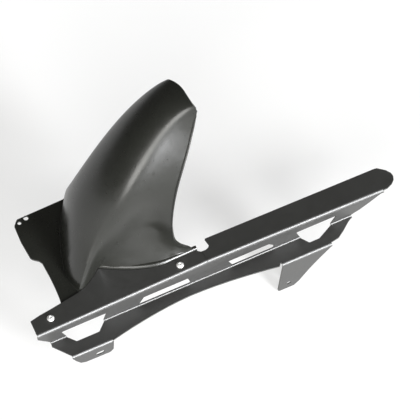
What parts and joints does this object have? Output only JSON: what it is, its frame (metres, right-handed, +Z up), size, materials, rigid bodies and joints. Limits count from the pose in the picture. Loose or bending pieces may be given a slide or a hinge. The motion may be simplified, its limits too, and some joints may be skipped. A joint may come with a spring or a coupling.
{
  "type": "motorcycle rear wheel fender",
  "caption": "Rear wheel fender: an arched moulded tyre cover clamped to a folded sheet chain guard with cut-out windows and mounting tabs.",
  "frame": {"origin": "centre of the hole in the rear mounting tab, on the tab's outer face", "axes": "+X toward the rear of the machine along the guard, +Y across the wheel away from the guard's outer side, +Z up, square to the top plate's front half"},
  "size_m": [0.5652, 0.225, 0.3672],
  "materials": {
    "moulding": "semi-matte black moulded plastic",
    "coated_sheet": "satin black coated aluminium sheet",
    "fastener": "zinc-plated steel"
  },
  "bodies": {
    "root": {"fender_shell": "moulding", "chain_guard": "coated_sheet", "screw_front": "fastener", "screw_rear": "fastener", "nut_front": "fastener", "nut_rear": "fastener"}
  },
  "joints": []
}
